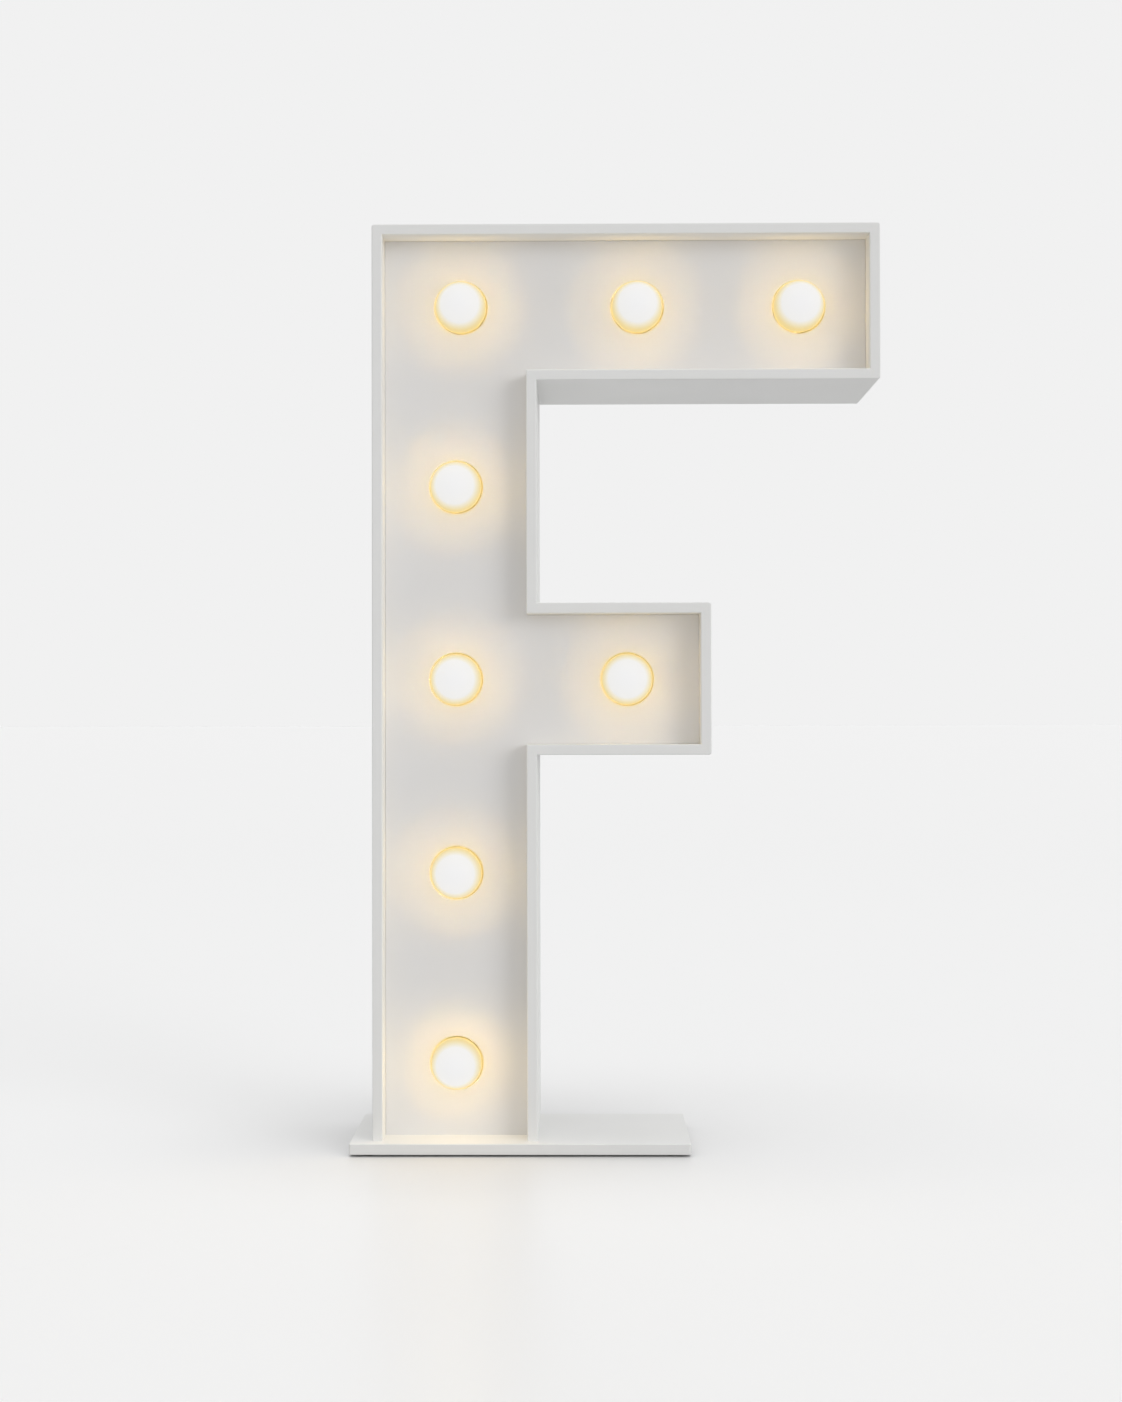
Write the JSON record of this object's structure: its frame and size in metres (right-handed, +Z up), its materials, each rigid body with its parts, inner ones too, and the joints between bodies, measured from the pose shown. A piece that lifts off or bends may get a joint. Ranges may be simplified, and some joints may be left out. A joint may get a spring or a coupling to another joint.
{
  "type": "light-up letter",
  "caption": "White box-built light-up letter F on a flat base plate, with warm round globe lamps screwed into its recessed face, and a rocker switch and mains inlet at the back.",
  "frame": {"origin": "on the floor, under the middle of the letter's outer box", "axes": "+X to the viewer's right along the arms, +Y from the lit front to the back, +Z up"},
  "size_m": [0.457, 0.145, 0.8],
  "materials": {
    "white_lacquer": "satin white lacquer sprayed on fibreboard",
    "pine": "planed, unfinished",
    "lit_opal_globe": "opal polycarbonate, lit warm white",
    "lamp_plastic": "moulded, satin",
    "holder_plastic": "moulded, satin",
    "white_enamel": "white enamel on pressed steel",
    "nickel": "nickel-plated brass",
    "brass": "bare pressed brass",
    "black_plastic": "moulded, fine spark texture",
    "rocker_plastic": "moulded, glossy",
    "cable_sheath": "smooth white sheath",
    "zinc_screw": "bright zinc plating",
    "black_rubber": "matt moulded rubber"
  },
  "bodies": {
    "letter": {"left_board": "white_lacquer", "top_board": "white_lacquer", "top_arm_end_board": "white_lacquer", "top_arm_lower_board": "white_lacquer", "upper_stem_board": "white_lacquer", "mid_arm_upper_board": "white_lacquer", "mid_arm_end_board": "white_lacquer", "mid_arm_lower_board": "white_lacquer", "lower_stem_board": "white_lacquer", "face_panel": "white_lacquer", "back_cover": "white_lacquer", "base_plate": "white_lacquer", "spacer_blocks": "pine", "foot_block": "pine", "rubber_feet": "black_rubber", "base_screws": "zinc_screw", "cover_screws": "zinc_screw", "cup_screws": "zinc_screw", "lamp_cups": "white_enamel", "lampholders": "holder_plastic", "lampholder_nuts": "holder_plastic", "contact_shells": "brass", "spring_contacts": "brass", "lamp_cable": "cable_sheath", "switch_housing": "black_plastic", "inlet_body": "black_plastic", "terminal_blades": "nickel"},
    "rocker": {"switch_rocker": "rocker_plastic"},
    "bulb_1_thrust": {"bulb_tip_1": "brass"},
    "bulb_1": {"bulb_globe_1": "lit_opal_globe", "bulb_collar_1": "lamp_plastic", "bulb_cap_1": "nickel"},
    "bulb_2_thrust": {"bulb_tip_2": "brass"},
    "bulb_2": {"bulb_globe_2": "lit_opal_globe", "bulb_collar_2": "lamp_plastic", "bulb_cap_2": "nickel"},
    "bulb_3_thrust": {"bulb_tip_3": "brass"},
    "bulb_3": {"bulb_globe_3": "lit_opal_globe", "bulb_collar_3": "lamp_plastic", "bulb_cap_3": "nickel"},
    "bulb_4_thrust": {"bulb_tip_4": "brass"},
    "bulb_4": {"bulb_globe_4": "lit_opal_globe", "bulb_collar_4": "lamp_plastic", "bulb_cap_4": "nickel"},
    "bulb_5_thrust": {"bulb_tip_5": "brass"},
    "bulb_5": {"bulb_globe_5": "lit_opal_globe", "bulb_collar_5": "lamp_plastic", "bulb_cap_5": "nickel"},
    "bulb_6_thrust": {"bulb_tip_6": "brass"},
    "bulb_6": {"bulb_globe_6": "lit_opal_globe", "bulb_collar_6": "lamp_plastic", "bulb_cap_6": "nickel"},
    "bulb_7_thrust": {"bulb_tip_7": "brass"},
    "bulb_7": {"bulb_globe_7": "lit_opal_globe", "bulb_collar_7": "lamp_plastic", "bulb_cap_7": "nickel"},
    "bulb_8_thrust": {"bulb_tip_8": "brass"},
    "bulb_8": {"bulb_globe_8": "lit_opal_globe", "bulb_collar_8": "lamp_plastic", "bulb_cap_8": "nickel"}
  },
  "joints": [
    {"name": "switch_rock", "type": "hinge", "parent": "letter", "child": "rocker", "pos_m": [-0.1075, 0.0605, 0.157], "axis": [-1, 0, 0], "range_deg": [0, 20]},
    {"name": "bulb_1_travel", "type": "slide", "parent": "letter", "child": "bulb_1_thrust", "axis": [0, -1, 0], "range_m": [0, 0.01693]},
    {"name": "bulb_1_turn", "type": "hinge", "parent": "bulb_1_thrust", "child": "bulb_1", "pos_m": [-0.134, -0.0375, 0.7325], "axis": [0, -1, 0], "range_deg": [0, 2160]},
    {"name": "bulb_2_travel", "type": "slide", "parent": "letter", "child": "bulb_2_thrust", "axis": [0, -1, 0], "range_m": [0, 0.01693]},
    {"name": "bulb_2_turn", "type": "hinge", "parent": "bulb_2_thrust", "child": "bulb_2", "pos_m": [0.02, -0.0375, 0.7325], "axis": [0, -1, 0], "range_deg": [0, 2160]},
    {"name": "bulb_3_travel", "type": "slide", "parent": "letter", "child": "bulb_3_thrust", "axis": [0, -1, 0], "range_m": [0, 0.01693]},
    {"name": "bulb_3_turn", "type": "hinge", "parent": "bulb_3_thrust", "child": "bulb_3", "pos_m": [0.161, -0.0375, 0.7325], "axis": [0, -1, 0], "range_deg": [0, 2160]},
    {"name": "bulb_4_travel", "type": "slide", "parent": "letter", "child": "bulb_4_thrust", "axis": [0, -1, 0], "range_m": [0, 0.01693]},
    {"name": "bulb_4_turn", "type": "hinge", "parent": "bulb_4_thrust", "child": "bulb_4", "pos_m": [-0.1385, -0.0375, 0.5755], "axis": [0, -1, 0], "range_deg": [0, 2160]},
    {"name": "bulb_5_travel", "type": "slide", "parent": "letter", "child": "bulb_5_thrust", "axis": [0, -1, 0], "range_m": [0, 0.01693]},
    {"name": "bulb_5_turn", "type": "hinge", "parent": "bulb_5_thrust", "child": "bulb_5", "pos_m": [-0.1385, -0.0375, 0.4075], "axis": [0, -1, 0], "range_deg": [0, 2160]},
    {"name": "bulb_6_travel", "type": "slide", "parent": "letter", "child": "bulb_6_thrust", "axis": [0, -1, 0], "range_m": [0, 0.01693]},
    {"name": "bulb_6_turn", "type": "hinge", "parent": "bulb_6_thrust", "child": "bulb_6", "pos_m": [0.0105, -0.0375, 0.4075], "axis": [0, -1, 0], "range_deg": [0, 2160]},
    {"name": "bulb_7_travel", "type": "slide", "parent": "letter", "child": "bulb_7_thrust", "axis": [0, -1, 0], "range_m": [0, 0.01693]},
    {"name": "bulb_7_turn", "type": "hinge", "parent": "bulb_7_thrust", "child": "bulb_7", "pos_m": [-0.1385, -0.0375, 0.239], "axis": [0, -1, 0], "range_deg": [0, 2160]},
    {"name": "bulb_8_travel", "type": "slide", "parent": "letter", "child": "bulb_8_thrust", "axis": [0, -1, 0], "range_m": [0, 0.01693]},
    {"name": "bulb_8_turn", "type": "hinge", "parent": "bulb_8_thrust", "child": "bulb_8", "pos_m": [-0.1385, -0.0375, 0.0735], "axis": [0, -1, 0], "range_deg": [0, 2160]}
  ],
  "couplings": [
    {"joint": "bulb_1_travel", "follows": "bulb_1_turn", "m_per_rad": 0.00044882},
    {"joint": "bulb_2_travel", "follows": "bulb_2_turn", "m_per_rad": 0.00044882},
    {"joint": "bulb_3_travel", "follows": "bulb_3_turn", "m_per_rad": 0.00044882},
    {"joint": "bulb_4_travel", "follows": "bulb_4_turn", "m_per_rad": 0.00044882},
    {"joint": "bulb_5_travel", "follows": "bulb_5_turn", "m_per_rad": 0.00044882},
    {"joint": "bulb_6_travel", "follows": "bulb_6_turn", "m_per_rad": 0.00044882},
    {"joint": "bulb_7_travel", "follows": "bulb_7_turn", "m_per_rad": 0.00044882},
    {"joint": "bulb_8_travel", "follows": "bulb_8_turn", "m_per_rad": 0.00044882}
  ]
}
